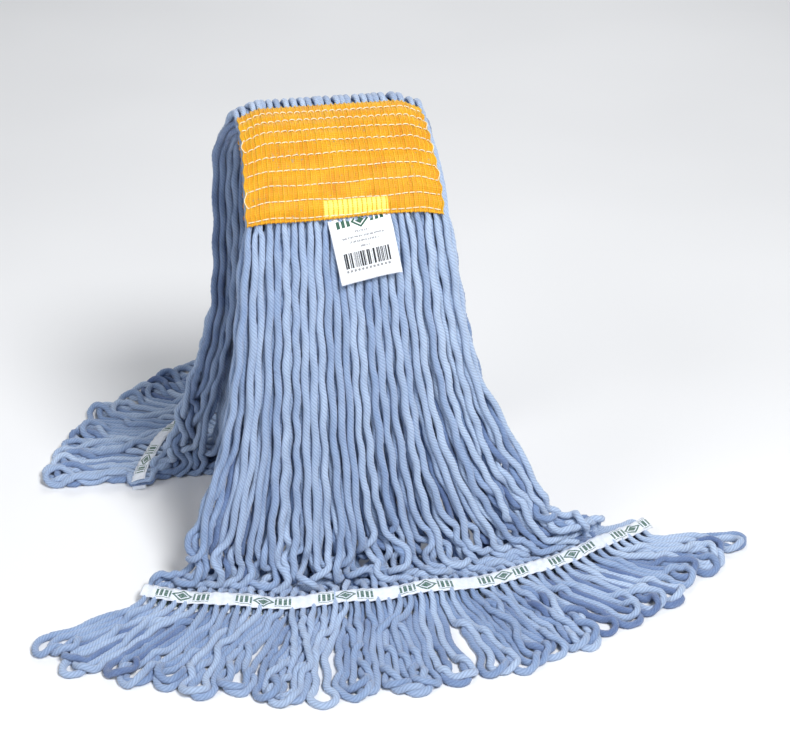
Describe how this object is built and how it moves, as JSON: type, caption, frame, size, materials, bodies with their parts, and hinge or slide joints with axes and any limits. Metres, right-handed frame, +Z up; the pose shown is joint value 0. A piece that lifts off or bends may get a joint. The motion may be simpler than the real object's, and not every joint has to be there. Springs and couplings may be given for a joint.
{
  "type": "string mop",
  "caption": "Looped-end wet mop head of twisted blue yarn with a stitched yellow mesh headband, taped fringed tails and a paper label, draped over its crest.",
  "frame": {"origin": "on the floor, under the middle of the whole head's outline", "axes": "+Z up, +X along the headband to the right as seen from the headband's side, -Y towards the side that the headband faces"},
  "size_m": [0.6274, 0.5956, 0.4038],
  "materials": {
    "headband_mesh": "coarse ribbed knitted mesh, yellow-orange",
    "stitching_thread": "off-white lock-stitch thread",
    "yarn": "twisted multi-ply yarn, soft matte mid blue",
    "tail_tape": "woven white tape with a printed dark green repeat",
    "label_paper": "smooth white printed paper"
  },
  "bodies": {
    "headband": {"headband_outer_panel": "headband_mesh", "headband_inner_panel": "headband_mesh", "crown_lock_1": "yarn", "crown_lock_2": "yarn", "crown_lock_3": "yarn", "crown_lock_4": "yarn", "crown_lock_5": "yarn", "crown_lock_6": "yarn", "crown_lock_7": "yarn", "crown_lock_8": "yarn", "needle_thread_rows": "stitching_thread", "bobbin_thread_rows": "stitching_thread"},
    "front_skirt": {"front_lock_1": "yarn", "front_fringe_1": "yarn", "front_lock_2": "yarn", "front_fringe_2": "yarn", "front_lock_3": "yarn", "front_fringe_3": "yarn", "front_lock_4": "yarn", "front_fringe_4": "yarn", "front_lock_5": "yarn", "front_fringe_5": "yarn", "front_lock_6": "yarn", "front_fringe_6": "yarn", "front_lock_7": "yarn", "front_fringe_7": "yarn", "front_lock_8": "yarn", "front_fringe_8": "yarn", "front_tape_lower": "tail_tape", "front_tape_upper": "tail_tape", "front_tape_thread": "stitching_thread"},
    "back_skirt": {"back_lock_1": "yarn", "back_fringe_1": "yarn", "back_lock_2": "yarn", "back_fringe_2": "yarn", "back_lock_3": "yarn", "back_fringe_3": "yarn", "back_lock_4": "yarn", "back_fringe_4": "yarn", "back_lock_5": "yarn", "back_fringe_5": "yarn", "back_lock_6": "yarn", "back_fringe_6": "yarn", "back_lock_7": "yarn", "back_fringe_7": "yarn", "back_lock_8": "yarn", "back_fringe_8": "yarn", "back_tape_lower": "tail_tape", "back_tape_upper": "tail_tape", "back_tape_thread": "stitching_thread"},
    "label": {"label": "label_paper"}
  },
  "joints": [
    {"name": "front_skirt_swing", "type": "hinge", "parent": "headband", "child": "front_skirt", "pos_m": [-0.03909, -0.1161, 0.34428], "axis": [-1, 0, 0], "range_deg": [-8, 60]},
    {"name": "back_skirt_swing", "type": "hinge", "parent": "headband", "child": "back_skirt", "pos_m": [-0.03909, -0.02231, 0.40281], "axis": [1, 0, 0], "range_deg": [-8, 75]},
    {"name": "label_swing", "type": "hinge", "parent": "front_skirt", "child": "label", "pos_m": [-0.02409, -0.1169, 0.34428], "axis": [-1, 0, 0], "range_deg": [0, 110]}
  ]
}
